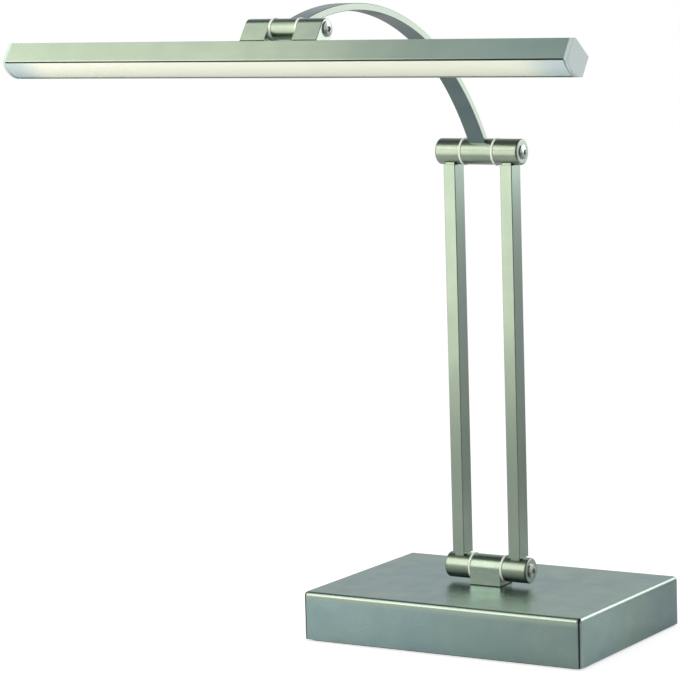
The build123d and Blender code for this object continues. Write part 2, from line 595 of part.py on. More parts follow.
def base_leads():
    """Leads inside the base: inlet to driver, switch to driver, and driver to the lower hinge."""
    spread = DRIVER_WIDTH / 4
    jack_end = (JACK_X, BACK_Y - JACK_LENGTH, REAR_PARTS_Z)
    switch_end = (SWITCH_X, BACK_Y - SWITCH_LENGTH, REAR_PARTS_Z)
    inlet_y = DRIVER_CENTRE_Y + spread
    base_y = DRIVER_CENTRE_Y - spread
    inlet = bent_lead([jack_end, (JACK_X, inlet_y, REAR_PARTS_Z), (DRIVER_END_X, inlet_y, REAR_PARTS_Z)],
                      BASE_LEAD_BEND)
    switch = bent_lead([switch_end, (SWITCH_X, DRIVER_CENTRE_Y, REAR_PARTS_Z),
                        (DRIVER_END_X, DRIVER_CENTRE_Y, REAR_PARTS_Z)], BASE_LEAD_BEND)
    output = bent_lead([(DRIVER_END_X, base_y, LEAD_Z), (0, base_y, LEAD_Z), (0, 0, LEAD_Z),
                        (0, 0, LOWER_AXIS_Z), (-LEAD_JOIN_X, 0, LOWER_AXIS_Z)],
                       [BASE_LEAD_BEND, BASE_LEAD_BEND, LEAD_BEND])
    return inlet, switch, output


# ---- Post ----
def outer_barrel(side, lead_angle=None):
    """One outer barrel of a post hinge. The left ones have a hole for the lead."""
    barrel = x_rod(HINGE_RADIUS, side * POST_HINGE.inner_x, side * BARREL_OUTER_X)
    rims = barrel.edges().filter_by(GeomType.CIRCLE).sort_by(Axis.X)
    outer_rim, inner_rim = (rims[-1], rims[0]) if side > 0 else (rims[0], rims[-1])
    barrel = fillet(outer_rim, BARREL_END_RADIUS)
    barrel = fillet(barrel.edges().filter_by(GeomType.CIRCLE).sort_by_distance(inner_rim @ 0)[0],
                    BARREL_INNER_RADIUS)
    barrel -= POST_HINGE.stepped_bore(side)
    if lead_angle is not None:
        barrel -= Pos(-TUBE_CENTRE_X, 0, 0) * POST_HINGE.lead_hole(lead_angle)
    return barrel


def post_tube(side):
    """Rectangular tube, cut square at both ends, which rest on the barrels."""
    length = POST_LENGTH - 2 * HINGE_RADIUS
    middle = Pos(side * TUBE_CENTRE_X, 0, (LOWER_AXIS_Z + UPPER_AXIS_Z) / 2)
    tube = middle * Box(TUBE_WIDTH, TUBE_DEPTH, length)
    tube = fillet(tube.edges().filter_by(Axis.Z), TUBE_EDGE_RADIUS)
    return tube - middle * Box(TUBE_WIDTH - 2 * TUBE_WALL, TUBE_DEPTH - 2 * TUBE_WALL, length)


def tube_plugs():
    """Four plugs that join the tubes to the barrels: each fills a tube's end and is hollowed to fit its barrel."""
    half_width = TUBE_WIDTH / 2 - TUBE_WALL - SEAT_CLEARANCE
    half_depth = TUBE_DEPTH / 2 - TUBE_WALL - SEAT_CLEARANCE
    plugs = Part()
    for x in (-TUBE_CENTRE_X, TUBE_CENTRE_X):
        for axis_z, up in ((LOWER_AXIS_Z, 1), (UPPER_AXIS_Z, -1)):
            far_z = axis_z + up * (HINGE_RADIUS + TUBE_PLUG_DEPTH)
            plug = block_between((x - half_width, -half_depth, min(axis_z, far_z)),
                                 (x + half_width, half_depth, max(axis_z, far_z)))
            plug -= x_rod(HINGE_RADIUS, x - TUBE_WIDTH, x + TUBE_WIDTH, z=axis_z)
            plugs += plug - z_rod(LEAD_HOLE_RADIUS, axis_z, far_z, x)
    return plugs


def post_lead():
    """Lead through the left tube, from the lower axle to the upper axle."""
    return bent_lead([(-LEAD_JOIN_X, 0, LOWER_AXIS_Z), (-TUBE_CENTRE_X, 0, LOWER_AXIS_Z),
                      (-TUBE_CENTRE_X, 0, UPPER_AXIS_Z), (-LEAD_JOIN_X, 0, UPPER_AXIS_Z)], LEAD_BEND)


# ---- Arch ----
def arch_knuckle(hinge, leaving_angle):
    """Centre barrel of a hinge, with a hole for the lead towards the bar."""
    barrel = x_rod(hinge.radius, -hinge.knuckle_half, hinge.knuckle_half)
    return barrel - hinge.running_bore() - hinge.lead_hole(leaving_angle)


def arch_bar():
    """Flat hollow bar bent to one arc between two hinge axes, coped to sit on both knuckles."""
    turn_axis = Axis((0, ARCH_CENTRE_Y, ARCH_CENTRE_Z), (1, 0, 0))
    start = Plane(origin=(0, 0, UPPER_AXIS_Z), x_dir=(1, 0, 0),
                  z_dir=(0, -sin(radians(ARCH_LOW_ANGLE)), cos(radians(ARCH_LOW_ANGLE))))
    section = chamfer(Rectangle(ARCH_WIDTH, ARCH_THICKNESS).vertices(), ARCH_EDGE_CHAMFER)
    section -= Rectangle(ARCH_WIDTH - 2 * ARCH_WALL, ARCH_THICKNESS - 2 * ARCH_WALL)
    bar = revolve(start * section, turn_axis, ARCH_HIGH_ANGLE - ARCH_LOW_ANGLE)
    bar -= AT_UPPER_AXIS * x_rod(POST_HINGE.radius, -POST_HINGE.knuckle_half, POST_HINGE.knuckle_half)
    return bar - AT_HEAD_AXIS * x_rod(HEAD_HINGE.radius, -HEAD_HINGE.knuckle_half, HEAD_HINGE.knuckle_half)


def arch_lead():
    """Lead through the arch, which turns onto the hinge axis at each end."""
    centre = (ARCH_CENTRE_Y, ARCH_CENTRE_Z)
    step = degrees(LEAD_BEND / ARCH_RADIUS)
    half_turn = LEAD_BEND * sin(radians(45))

    def turn(angle, inward):
        """The bend at one end, given where it meets the arc and which way along the arc the axis lies."""
        y, z = polar(ARCH_RADIUS, angle, centre)
        along_y, along_z = -sin(radians(angle)) * inward, cos(radians(angle)) * inward
        on_arc = Vector(0, y, z)
        middle = Vector(half_turn - LEAD_BEND, y + along_y * half_turn, z + along_z * half_turn)
        on_axis = Vector(-LEAD_BEND, y + along_y * LEAD_BEND, z + along_z * LEAD_BEND)
        end = Vector(-LEAD_JOIN_X, on_axis.Y, on_axis.Z)
        return on_arc, middle, on_axis, end

    low, low_middle, low_axis, low_end = turn(ARCH_LOW_ANGLE + step, -1)
    high, high_middle, high_axis, high_end = turn(ARCH_HIGH_ANGLE - step, 1)
    crown = Vector(0, *polar(ARCH_RADIUS, (ARCH_LOW_ANGLE + ARCH_HIGH_ANGLE) / 2, centre))
    path = Wire([Line(low_end, low_axis).edge(), ThreePointArc(low_axis, low_middle, low).edge(),
                 ThreePointArc(low, crown, high).edge(), ThreePointArc(high, high_middle, high_axis).edge(),
                 Line(high_axis, high_end).edge()])
    return lead_along(path)


# ---- Head, built with the light facing straight down about the head hinge axis ----
def head_outline():
    """Outer section of the housing: a rectangle with two opposite corners cut off."""
    return outline([(HEAD_FRONT_Y, HEAD_BOTTOM_Z), (HEAD_FRONT_Y, HEAD_TOP_Z - HEAD_CHAMFER_Z),
                    (HEAD_FRONT_Y + HEAD_CHAMFER_Y, HEAD_TOP_Z), (HEAD_BACK_Y, HEAD_TOP_Z),
                    (HEAD_BACK_Y, HEAD_BOTTOM_Z + HEAD_CHAMFER_Z), (LIP_Y, HEAD_BOTTOM_Z)])


def dome_outline(front, back, bulge_z, top_z):
    """Area under a shallow arc between two lower corners, closed by a flat top."""
    arc = ThreePointArc(front, ((front[0] + back[0]) / 2, bulge_z), back)
    return make_face(arc + Polyline(back, (back[0], top_z), (front[0], top_z), front))


def head_housing():
    """Extruded channel with rails for the LED board and catches for the diffuser."""
    section = head_outline()
    section -= offset(section, -HEAD_WALL, kind=Kind.INTERSECTION)
    section -= rectangle(CAVITY_FRONT_Y, LIP_Y, HEAD_BOTTOM_Z, LIP_TOP_Z + HEAD_WALL)
    section -= rectangle(CAVITY_FRONT_Y - SNAP_DEPTH - FIT_GAP, CAVITY_FRONT_Y, SNAP_LOW_Z - FIT_GAP,
                         SNAP_LOW_Z + SNAP_HEIGHT + FIT_GAP)
    section += rectangle(CAVITY_FRONT_Y, BOARD_FRONT_Y + RAIL_REACH, RAIL_BOTTOM_Z, RAIL_TOP_Z)
    section += rectangle(BOARD_BACK_Y - RAIL_REACH, CAVITY_BACK_Y, RAIL_BOTTOM_Z, RAIL_TOP_Z)
    housing = x_prism(section, -HOUSING_END_X, HOUSING_END_X)
    lip = housing.edges().filter_by(Axis.X).sort_by_distance((0, HEAD_FRONT_Y, HEAD_BOTTOM_Z))[0]
    housing = fillet(lip, FRONT_LIP_RADIUS)
    housing -= z_rod(LEAD_HOLE_RADIUS, CAVITY_TOP_Z, HEAD_TOP_Z, -HEAD_HINGE.centre_x)
    for x in LUG_SCREW_PLACES:
        housing -= z_rod(SMALL_SCREW_RADIUS + HOLE_CLEARANCE, CAVITY_TOP_Z, HEAD_TOP_Z, x)
    return housing


def diffuser():
    """Domed light cover whose two legs snap into the housing."""
    rim_top_z = HEAD_BOTTOM_Z - DIFFUSER_GROOVE
    front = (HEAD_FRONT_Y + DIFFUSER_SET_BACK, rim_top_z - DIFFUSER_RIM)
    back = (LEG_BACK_Y, HEAD_BOTTOM_Z + DIFFUSER_BACK_RECESS)
    bulge_z = HEAD_BOTTOM_Z - DIFFUSER_BULGE
    section = dome_outline(front, back, bulge_z, LEG_TOP_Z)
    section -= rectangle(front[0], LEG_FRONT_Y, rim_top_z, LEG_TOP_Z)
    inner_front = (LEG_FRONT_Y + DIFFUSER_LEG_THICKNESS, front[1] + DIFFUSER_THICKNESS / 2)
    inner_back = (LEG_BACK_Y - DIFFUSER_LEG_THICKNESS, back[1] + DIFFUSER_THICKNESS / 2)
    section -= dome_outline(inner_front, inner_back, bulge_z + DIFFUSER_THICKNESS, LEG_TOP_Z)
    snap_top_z = SNAP_LOW_Z + SNAP_HEIGHT
    front_tip = (LEG_FRONT_Y - SNAP_DEPTH, SNAP_LOW_Z)
    back_tip = (LEG_BACK_Y + SNAP_DEPTH, SNAP_LOW_Z + SNAP_DEPTH * HEAD_CHAMFER_Z / HEAD_CHAMFER_Y)
    section += outline([(LEG_FRONT_Y, SNAP_LOW_Z), (LEG_FRONT_Y, snap_top_z), front_tip])
    section += outline([(LEG_BACK_Y, SNAP_LOW_Z), back_tip, (LEG_BACK_Y, snap_top_z)])
    return x_prism(section, -HOUSING_END_X + FIT_GAP, HOUSING_END_X - FIT_GAP)


def end_cap(side):
    """Moulded cap over one end, with a hollow plug inside the housing."""
    arc = ThreePointArc((HEAD_FRONT_Y, HEAD_BOTTOM_Z),
                        ((HEAD_FRONT_Y + LIP_Y) / 2, HEAD_BOTTOM_Z - DIFFUSER_BULGE - CAP_PROUD),
                        (LIP_Y, HEAD_BOTTOM_Z))
    bulge = make_face(arc + Line(arc @ 1, arc @ 0))
    inner_x, outer_x = side * HOUSING_END_X, side * HEAD_LENGTH / 2
    cap = x_prism(head_outline() + bulge, min(inner_x, outer_x), max(inner_x, outer_x))
    outer_face = cap.faces().filter_by(Axis.X).sort_by(Axis.X)[-1 if side > 0 else 0]
    cap = fillet(outer_face.edges(), END_CAP_EDGE_RADIUS)
    plug_end_x = inner_x - side * END_CAP_PLUG_DEPTH
    x_low, x_high = sorted((inner_x, plug_end_x))
    low = (x_low, CAVITY_FRONT_Y + FIT_GAP, LEG_TOP_Z + PLUG_GAP)
    high = (x_high, CAVITY_BACK_Y - FIT_GAP, RAIL_BOTTOM_Z - PLUG_GAP)
    plug = block_between(low, high)
    plug -= block_between((x_low, low[1] + PLUG_WALL, low[2] + PLUG_WALL),
                          (x_high, high[1] - PLUG_WALL, high[2] - PLUG_WALL))
    return cap + plug


def head_lug(side):
    """Upright ear of the head hinge, round about the axis, standing on the housing."""
    inner_x, outer_x = side * HEAD_HINGE.inner_x, side * HEAD_HINGE.outer_x
    x_low, x_high = sorted((inner_x, outer_x))
    lug = block_between((x_low, -HEAD_HINGE_RADIUS, HEAD_TOP_Z), (x_high, HEAD_HINGE_RADIUS, 0))
    lug += x_rod(HEAD_HINGE_RADIUS, x_low, x_high)
    outer_face = lug.faces().filter_by(Axis.X).sort_by(Axis.X)[-1 if side > 0 else 0]
    rim = [edge for edge in outer_face.edges() if edge.center().Z > HEAD_TOP_Z + LUG_EDGE_RADIUS]
    lug = fillet(rim, LUG_EDGE_RADIUS)
    lug -= HEAD_HINGE.stepped_bore(side)
    for x in LUG_SCREW_PLACES:
        lug -= z_rod(SMALL_SCREW_RADIUS + THREAD_CLEARANCE, HEAD_TOP_Z,
                     HEAD_TOP_Z + LUG_SCREW_REACH + HOLE_CLEARANCE, x)
    if side < 0:
        lug -= z_rod(LEAD_HOLE_RADIUS, HEAD_TOP_Z, 0, -HEAD_HINGE.centre_x)
    return lug


def lug_screws():
    """Four screws from inside the housing up into the lugs."""
    screws = Part()
    for x in LUG_SCREW_PLACES:
        screws += Pos(x, 0, CAVITY_TOP_Z) * Rot(180, 0, 0) * pan_head_screw(HEAD_WALL + LUG_SCREW_REACH)
    return screws


def led_board():
    """Long board against the top of the channel, with holes that clear the screws and the lead."""
    end_x = HOUSING_END_X - FIT_GAP
    board = block_between((-end_x, BOARD_FRONT_Y, BOARD_BOTTOM_Z), (end_x, BOARD_BACK_Y, CAVITY_TOP_Z))
    for x in LUG_SCREW_PLACES:
        board -= z_rod(SMALL_SCREW_HEAD_RADIUS + HOLE_CLEARANCE, BOARD_BOTTOM_Z, CAVITY_TOP_Z, x)
    x = -HEAD_HINGE.centre_x
    board -= z_rod(LEAD_HOLE_RADIUS, BOARD_BOTTOM_Z, CAVITY_TOP_Z, x)
    return board - block_between((x - LEAD_SLOT, -LEAD_HOLE_RADIUS, BOARD_BOTTOM_Z),
                                 (x, LEAD_HOLE_RADIUS, CAVITY_TOP_Z))


def led_chips():
    """One row of LEDs under the board."""
    run = HEAD_LENGTH - 2 * LED_END_MARGIN
    count = int(run / LED_PITCH) + 1
    first_x = -(count - 1) * LED_PITCH / 2
    chips = Part()
    for index in range(count):
        centre = Pos(first_x + index * LED_PITCH, LED_OFFSET_Y, BOARD_BOTTOM_Z - LED_HEIGHT / 2)
        chips += centre * Box(LED_LENGTH, LED_WIDTH, LED_HEIGHT)
    return chips


def head_lead():
    """Lead from the head axle down through the left lug and along the underside of the board."""
    run_z = BOARD_BOTTOM_Z - LEAD_RADIUS - FIT_GAP
    x = -HEAD_HINGE.centre_x
    corners = [(-LEAD_JOIN_X, 0, 0), (x, 0, 0), (x, 0, run_z), (x - LEAD_BOARD_RUN, 0, run_z)]
    return bent_lead(corners, LEAD_BEND)


# ---- The whole lamp ----
def lower_axle():
    """Axle of the lower hinge. It turns with the post about the lead that comes up through the block."""
    middle = -(POST_RANGE[0] + POST_RANGE[1]) / 2
    return POST_HINGE.axle(180 + middle, POST_RANGE[1] - POST_RANGE[0], -TUBE_CENTRE_X, 0)


def upper_axle():
    """Axle of the upper hinge. It stays with the post while the arch and its lead turn on it."""
    middle = ARCH_LEAVES_POST + (ARCH_RANGE[0] + ARCH_RANGE[1]) / 2
    return POST_HINGE.axle(middle, ARCH_RANGE[1] - ARCH_RANGE[0], -TUBE_CENTRE_X, 180)


def head_axle():
    """Axle of the head hinge. It turns with the head about the arch's lead."""
    middle = ARCH_LEAVES_HEAD + HEAD_TILT - (HEAD_RANGE[0] + HEAD_RANGE[1]) / 2
    return HEAD_HINGE.axle(middle, HEAD_RANGE[1] - HEAD_RANGE[0], -HEAD_HINGE.centre_x, 180)


def build():
    """Make every sub-part and write it."""
    save("base_cover", base_cover())
    save("base_plate", base_plate())
    save("base_weight", base_weight())
    save("base_pad", base_pad())
    save("plate_screws", flat_head_screws(BOSS_PLACES))
    save("weight_screws", flat_head_screws(WEIGHT_SCREW_PLACES))
    save("backing_plate", backing_plate())
    save("hinge_block", hinge_block())
    save("block_screws", block_screws())
    save("led_driver", led_driver())
    save("driver_screws", driver_screws())
    save("power_jack", power_jack())
    save("jack_nut", wall_nut(JACK_NUT_FLATS, JACK_NUT_THICKNESS, JACK_RADIUS, JACK_X))
    save("switch_body", switch_body())
    save("switch_nut", wall_nut(SWITCH_NUT_FLATS, SWITCH_NUT_THICKNESS, SWITCH_RADIUS, SWITCH_X))
    save("switch_button", switch_button())
    inlet, switch, output = base_leads()
    save("inlet_lead", inlet)
    save("switch_lead", switch)
    save("base_lead", output)

    for side, name in ((-1, "left"), (1, "right")):
        save("post_tube_" + name, post_tube(side))
        save("lower_barrel_" + name, AT_LOWER_AXIS * outer_barrel(side, 0 if side < 0 else None))
        save("upper_barrel_" + name, AT_UPPER_AXIS * outer_barrel(side, 180 if side < 0 else None))
        save("head_lug_" + name, HEAD_FRAME * head_lug(side))
        save("end_cap_" + name, HEAD_FRAME * end_cap(side))
    save("lower_axle", AT_LOWER_AXIS * lower_axle())
    save("lower_washers", AT_LOWER_AXIS * POST_HINGE.washers())
    save("lower_cap_screws", AT_LOWER_AXIS * POST_HINGE.cap_screws())
    save("upper_axle", AT_UPPER_AXIS * upper_axle())
    save("upper_washers", AT_UPPER_AXIS * POST_HINGE.washers())
    save("upper_cap_screws", AT_UPPER_AXIS * POST_HINGE.cap_screws())
    save("tube_plugs", tube_plugs())
    save("post_lead", post_lead())

    save("arch_knuckle_low", AT_UPPER_AXIS * arch_knuckle(POST_HINGE, ARCH_LEAVES_POST))
    save("arch_bar", arch_bar())
    save("arch_knuckle_high", AT_HEAD_AXIS * arch_knuckle(HEAD_HINGE, ARCH_LEAVES_HEAD))
    save("arch_lead", arch_lead())

    save("head_axle", HEAD_FRAME * head_axle())
    save("head_washers", HEAD_FRAME * HEAD_HINGE.washers())
    save("head_cap_screws", HEAD_FRAME * HEAD_HINGE.cap_screws())
    save("head_housing", HEAD_FRAME * head_housing())
    save("diffuser", HEAD_FRAME * diffuser())
    save("lug_screws", HEAD_FRAME * lug_screws())
    save("led_board", HEAD_FRAME * led_board())
    save("led_chips", HEAD_FRAME * led_chips())
    save("head_lead", HEAD_FRAME * head_lead())


build()
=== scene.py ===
from math import radians

import bpy
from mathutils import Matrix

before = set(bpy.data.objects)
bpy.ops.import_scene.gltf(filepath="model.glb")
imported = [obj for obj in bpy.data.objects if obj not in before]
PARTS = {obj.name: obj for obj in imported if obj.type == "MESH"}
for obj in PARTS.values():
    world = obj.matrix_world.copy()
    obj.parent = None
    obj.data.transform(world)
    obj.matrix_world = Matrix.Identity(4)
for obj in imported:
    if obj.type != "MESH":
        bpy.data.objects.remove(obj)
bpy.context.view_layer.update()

# All lengths are in metres, and all colours are red, green and blue.
WHITE = (1.0, 1.0, 1.0)
WARM = (1.0, 0.94, 0.78)

# Camera: its place, its turn in degrees, its lens and film width in millimetres, and how far it sees.
CAMERA_PLACE = (1.16334, -2.11689, 0.55511)
CAMERA_TURN = (82.67202, 1.65101, 31.34200)
CAMERA_LENS = 161.0
CAMERA_FILM = 36.0
CAMERA_REACH = 50.0

# Lamps: name, place, turn in degrees, width, height, watts, colour, and whether metal mirrors it.
LAMPS = (
    ("panel_front_left", (-0.37, -0.59, 0.48), (90, 0, -31), 0.50, 0.74, 1.85, WARM, True),
    ("softbox_over_left", (-0.53, -0.49, 0.874), (26, 0, 0), 0.64, 0.28, 0.73, WARM, True),
    ("softbox_over_head", (-0.05, -0.49, 0.874), (26, 0, 0), 0.32, 0.28, 0.15, WHITE, True),
    ("panel_back_right", (0.50, 0.66, 0.66), (90, 0, 148), 0.70, 0.70, 2.2, WHITE, True),
    ("fill_low_right", (0.60, -1.20, 0.15), (108, 0, 34), 0.60, 0.60, 4.9, WHITE, False),
)

# Room: the light that falls on things from all round, and how bright its walls are in the metal, as
# stops from straight down, 0, over level, 0.5, to straight up, 1. Their colour is faintly cool.
ROOM_LIGHT = 0.62
WALL_LEVELS = ((0.0, 0.30), (0.40, 0.36), (0.50, 0.50), (0.65, 0.62), (0.77, 0.62), (0.88, 0.12), (1.0, 0.05))
WALL_COLOUR = (0.95, 1.0, 1.01)

# Floor: its size, how far it lies under the table face, its grey and roughness, and the light that it
# adds to what the camera sees of it, straight and in the metal.
FLOOR_SIZE = 9.0
FLOOR_DROP = 0.0002
FLOOR_GREY = 0.62
FLOOR_ROUGHNESS = 0.9
FLOOR_LIFT_IN_VIEW = 0.64
FLOOR_LIFT_IN_METAL = 0.04

# Shade that shows only in metal: the level headings of its two stretches, where along them it starts and
# is full, and where the stretch behind fades out again. Then what is left of the brightness in full
# shade, and how deep the stretch behind is as a share of the other.
FRONT_RIGHT = (0.64, -0.77, 0.0)
BACK_RIGHT = (0.52, 0.85, 0.0)
WALL_SHADE = (0.40, 0.90)
FLOOR_SHADE_FRONT = (0.15, 0.50)
FLOOR_SHADE_BEHIND = (0.46, 0.60)
FLOOR_SHADE_FADES = (0.72, 1.15)
SHADE_IN_METAL = 0.25
SHADE_BEHIND = 0.7

# Half the width over which a finish changes into the next, from a sharp line to a soft one.
SHARP_LINE = 0.0001
CORNER_LINE_EDGE = 0.0002
FINE_LINE = 0.0003
RIM_LINE = 0.0004
SOFT_LINE = 0.0025

# Base cover: its upright faces and the stretch over which their painted shade deepens, then its rims with
# their painted highlights, the band of painted sheen below them and the painted dark lines at its corners.
COVER_FACE_X = 0.1244
COVER_FACE_Y = 0.0869
COVER_LENGTH_X = (-0.11, 0.11)
COVER_LENGTH_Y = (-0.07, 0.07)
COVER_RIM_X = 0.1230
COVER_RIM_Y = 0.0858
COVER_RIM_Z = 0.0384
COVER_PALE_Z = 0.0345
CORNER_LINE_START_X = 0.1224
CORNER_LINE_END_X = 0.1237
CORNER_LINE_START_Y = 0.0840

# The top of the painted shade line round the hinge block's foot, the outer ends of the lugs and of the
# barrels, and a height just above the lower hinge.
BLOCK_FOOT_Z = 0.0413
LUG_END_X = 0.0321
BARREL_END_X = 0.0368
LOWER_HINGE_TOP_Z = 0.1

# Half the width of the arch's broad faces.
ARCH_EDGE_X = 0.0072

# Head section: its tilt, the shift that then brings its hinge axis to zero, the strip's front rim and
# the caps' painted shade line.
HEAD_TILT = radians(36.2)
HEAD_AXIS_SHIFT = (0.0, 0.52031, -0.23546)
STRIP_RIM_Y = -0.0082
STRIP_RIM_Z = -0.0339
CAP_SHADE_Z = -0.0333
CAP_SHADE_X = 0.2338

# Along the head: where its skin turns cooler, and how far out the strip is warm and is cool.
HEAD_COOLING_X = (0.02, 0.22)
STRIP_WARM_X = 0.195
STRIP_COOL_X = 0.228

# Sockets of the Mix node when it mixes colours.
MIX_SHARE, MIX_FIRST, MIX_SECOND, MIX_RESULT = 0, 6, 7, 2


# ---------------------------------------------------------------- short ways to join nodes

def feed(tree, source, socket):
    """Links a socket to its source, or sets it where the source is a plain number, colour or vector."""
    if isinstance(source, bpy.types.NodeSocket):
        tree.links.new(source, socket)
    elif socket.type == "RGBA":
        socket.default_value = (*source, 1.0)
    else:
        socket.default_value = source


def calc(tree, operation, *values):
    """One step of arithmetic on sockets and plain numbers."""
    node = tree.nodes.new("ShaderNodeMath")
    node.operation = operation
    for value, socket in zip(values, node.inputs):
        feed(tree, value, socket)
    return node.outputs[0]


def coordinate(tree, place, axis):
    split = tree.nodes.new("ShaderNodeSeparateXYZ")
    tree.links.new(place, split.inputs[0])
    return split.outputs[axis]


def change(tree, amount, start, end, low=0.0, high=1.0, smooth=True):
    """low up to start and high past end, with a smooth or a straight change between them."""
    node = tree.nodes.new("ShaderNodeMapRange")
    node.interpolation_type = "SMOOTHSTEP" if smooth else "LINEAR"
    for name, value in (("From Min", start), ("From Max", end), ("To Min", low), ("To Max", high)):
        node.inputs[name].default_value = value
    tree.links.new(amount, node.inputs["Value"])
    return node.outputs["Result"]


def times(tree, colour, amount):
    node = tree.nodes.new("ShaderNodeVectorMath")
    node.operation = "SCALE"
    tree.links.new(colour, node.inputs[0])
    tree.links.new(amount, node.inputs["Scale"])
    return node.outputs[0]


def blend_numbers(tree, share, first, second):
    """The first number where share is 0, and the second where it is 1."""
    node = tree.nodes.new("ShaderNodeMix")
    for name, value in (("Factor", share), ("A", first), ("B", second)):
        feed(tree, value, node.inputs[name])
    return node.outputs["Result"]


def blend_colours(tree, share, first, second, blend="MIX"):
    node = tree.nodes.new("ShaderNodeMix")
    node.data_type = "RGBA"
    node.blend_type = blend
    for place, value in ((MIX_SHARE, share), (MIX_FIRST, first), (MIX_SECOND, second)):
        feed(tree, value, node.inputs[place])
    return node.outputs[MIX_RESULT]


# ---------------------------------------------------------------- camera, floor and light

def put_camera():
    bpy.ops.object.camera_add(location=CAMERA_PLACE, rotation=[radians(angle) for angle in CAMERA_TURN])
    camera = bpy.context.object
    camera.name = "studio_camera"
    camera.data.sensor_width = CAMERA_FILM
    camera.data.sensor_fit = "HORIZONTAL"
    camera.data.lens = CAMERA_LENS
    camera.data.clip_end = CAMERA_REACH
    bpy.context.scene.camera = camera


def area_lamp(name, place, turn, width, height, watts, colour, mirrored):
    bpy.ops.object.light_add(type="AREA", location=place, rotation=[radians(angle) for angle in turn])
    lamp = bpy.context.object
    lamp.name = name
    lamp.data.shape = "RECTANGLE"
    lamp.data.size = width
    lamp.data.size_y = height
    lamp.data.energy = watts
    lamp.data.color = colour
    lamp.visible_camera = False
    lamp.visible_glossy = mirrored


def seen_rays(tree):
    """Two masks: what the camera sees straight, and that together with what it sees in metal and glass."""
    path = tree.nodes.new("ShaderNodeLightPath").outputs
    mirrored = calc(tree, "MAXIMUM", path["Is Glossy Ray"], path["Is Transmission Ray"])
    return path["Is Camera Ray"], calc(tree, "MAXIMUM", path["Is Camera Ray"], mirrored)


def shade_towards(tree, heading, place, start, end):
    """0 nearer than start and 1 further than end, measured along a level heading."""
    distance = tree.nodes.new("ShaderNodeVectorMath")
    distance.operation = "DOT_PRODUCT"
    distance.inputs[1].default_value = heading
    tree.links.new(place, distance.inputs[0])
    return change(tree, distance.outputs["Value"], start, end)


def wall_colour(tree, direction):
    """Pale walls under a dark ceiling, in shade at the front right."""
    # The direction's height goes from -1 to 1, and its place on the ramp from 0 to 1.
    height = calc(tree, "MULTIPLY_ADD", coordinate(tree, direction, "Z"), 0.5, 0.5)
    walls = tree.nodes.new("ShaderNodeValToRGB")
    ramp = walls.color_ramp
    ramp.interpolation = "EASE"
    for stop, _ in WALL_LEVELS[1:-1]:
        ramp.elements.new(stop)
    for element, (_, level) in zip(ramp.elements, WALL_LEVELS):
        element.color = (*(level * share for share in WALL_COLOUR), 1.0)
    tree.links.new(height, walls.inputs["Fac"])
    shade = shade_towards(tree, FRONT_RIGHT, direction, *WALL_SHADE)
    brightness = change(tree, shade, 0.0, 1.0, 1.0, SHADE_IN_METAL, smooth=False)
    return times(tree, walls.outputs["Color"], brightness)


def background(tree, colour, strength=1.0):
    node = tree.nodes.new("ShaderNodeBackground")
    feed(tree, colour, node.inputs["Color"])
    node.inputs["Strength"].default_value = strength
    return node.outputs[0]


def choice(tree, mask, first, second):
    """The first background where the mask is 0, and the second where it is 1."""
    node = tree.nodes.new("ShaderNodeMixShader")
    for source, socket in zip((mask, first, second), node.inputs):
        tree.links.new(source, socket)
    return node.outputs[0]


def studio_world():
    """Even light on things, the walls in their metal, and plain white behind them."""
    world = bpy.data.worlds.new("studio_world")
    bpy.context.scene.world = world
    world.use_nodes = True
    tree = world.node_tree
    tree.nodes.clear()
    camera, seen = seen_rays(tree)
    walls = wall_colour(tree, tree.nodes.new("ShaderNodeTexCoord").outputs["Generated"])
    in_metal = choice(tree, seen, background(tree, WHITE, ROOM_LIGHT), background(tree, walls))
    in_view = choice(tree, camera, in_metal, background(tree, WHITE))
    tree.links.new(in_view, tree.nodes.new("ShaderNodeOutputWorld").inputs["Surface"])


def floor_shade(tree, place):
    """1 in the shade at the front right, and less in the stretch behind the lamp."""
    front = shade_towards(tree, FRONT_RIGHT, place, *FLOOR_SHADE_FRONT)
    starts = shade_towards(tree, BACK_RIGHT, place, *FLOOR_SHADE_BEHIND)
    fades = shade_towards(tree, BACK_RIGHT, place, *FLOOR_SHADE_FADES)
    return calc(tree, "MULTIPLY_ADD", calc(tree, "SUBTRACT", starts, fades), SHADE_BEHIND, front)


def studio_floor():
    bpy.ops.mesh.primitive_plane_add(size=FLOOR_SIZE, location=(0.0, 0.0, -FLOOR_DROP))
    floor = bpy.context.object
    floor.name = "studio_floor"
    finish = Finish("floor_white")
    tree = finish.tree
    camera, seen = seen_rays(tree)
    only_in_metal = calc(tree, "SUBTRACT", seen, camera)
    shade = calc(tree, "MULTIPLY", floor_shade(tree, finish.place), only_in_metal)
    lift_in_metal = calc(tree, "MULTIPLY", seen, FLOOR_LIFT_IN_METAL)
    lift = calc(tree, "MULTIPLY_ADD", camera, FLOOR_LIFT_IN_VIEW - FLOOR_LIFT_IN_METAL, lift_in_metal)
    finish.set(Base_Color=finish.tint(shade, (FLOOR_GREY,) * 3, (FLOOR_GREY * SHADE_IN_METAL,) * 3),
               Roughness=FLOOR_ROUGHNESS, Specular_IOR_Level=0.0,
               Emission_Color=WHITE, Emission_Strength=lift)
    floor.data.materials.append(finish.material)


def light_studio():
    studio_world()
    studio_floor()
    for row in LAMPS:
        area_lamp(*row)


# ---------------------------------------------------------------- effects used by several finishes

def new_group(name, inputs, outputs):
    tree = bpy.data.node_groups.new(name, "ShaderNodeTree")
    for label, kind, value in inputs:
        socket = tree.interface.new_socket(label, in_out="INPUT", socket_type="NodeSocket" + kind)
        if value is not None:
            socket.default_value = value
    for label, kind in outputs:
        tree.interface.new_socket(label, in_out="OUTPUT", socket_type="NodeSocket" + kind)
    return tree, tree.nodes.new("NodeGroupInput").outputs, tree.nodes.new("NodeGroupOutput").inputs


